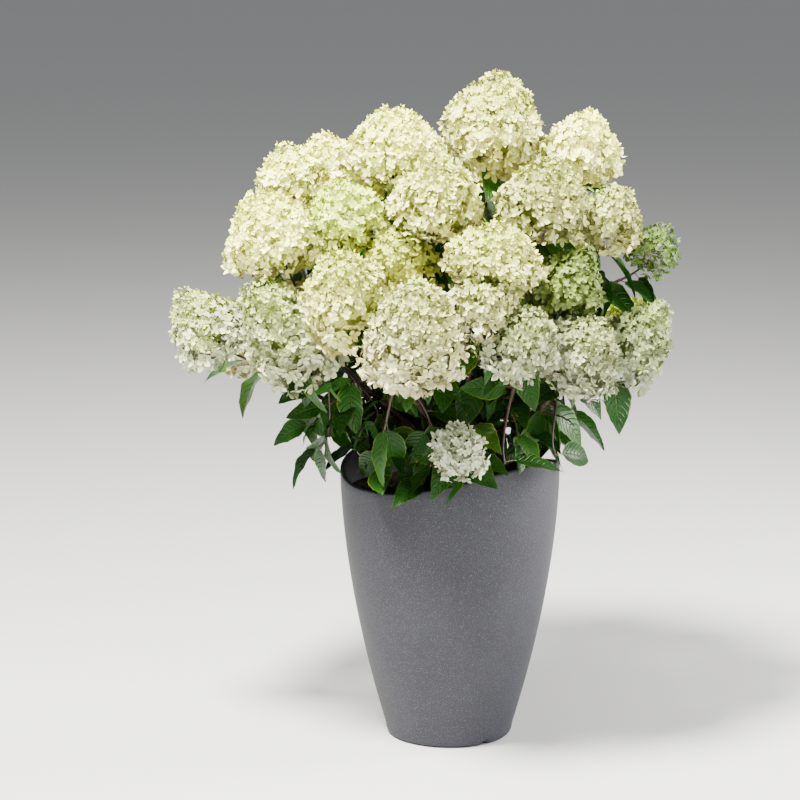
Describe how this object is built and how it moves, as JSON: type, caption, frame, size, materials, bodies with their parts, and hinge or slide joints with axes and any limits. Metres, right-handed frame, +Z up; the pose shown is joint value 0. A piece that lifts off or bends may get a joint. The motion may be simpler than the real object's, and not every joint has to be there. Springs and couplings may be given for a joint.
{
  "type": "hydrangea shrub in a planter",
  "caption": "Flowering panicle hydrangea shrub with cone-shaped cream blooms over dark leaves, growing in a tall tapered grey patio planter with a gently wavy rim",
  "frame": {"origin": "middle of the planter's flat underside", "axes": "+Z up, -Y toward the pictured side, +X to that side's right"},
  "size_m": [1.0021, 0.8648, 1.3507],
  "materials": {
    "planter": "matte",
    "soil": "matte",
    "bark": "matte",
    "blossom_and_leaves": "matte"
  },
  "bodies": {
    "root": {"bough_back_left": "bark", "bough_back_right": "bark", "bough_far_left": "bark", "bough_front": "bark", "bough_front_left": "bark", "bough_front_right": "bark", "bough_left_back": "bark", "bough_left_front": "bark", "bough_low_front": "bark", "bough_right": "bark", "bough_right_back": "bark", "bough_right_front": "bark", "bough_top": "bark", "bough_top_back": "bark", "bough_top_left": "bark", "bough_upper_front": "bark", "bough_upper_left": "bark", "bough_upper_right": "bark", "mass_back_left": "blossom_and_leaves", "mass_back_right": "blossom_and_leaves", "mass_far_left": "blossom_and_leaves", "mass_front": "blossom_and_leaves", "mass_front_left": "blossom_and_leaves", "mass_front_right": "blossom_and_leaves", "mass_left_back": "blossom_and_leaves", "mass_left_front": "blossom_and_leaves", "mass_low_front": "blossom_and_leaves", "mass_right": "blossom_and_leaves", "mass_right_back": "blossom_and_leaves", "mass_right_front": "blossom_and_leaves", "mass_top": "blossom_and_leaves", "mass_top_back": "blossom_and_leaves", "mass_top_left": "blossom_and_leaves", "mass_upper_front": "blossom_and_leaves", "mass_upper_left": "blossom_and_leaves", "mass_upper_right": "blossom_and_leaves", "planter": "planter", "soil": "soil", "trunk": "bark"}
  },
  "joints": []
}
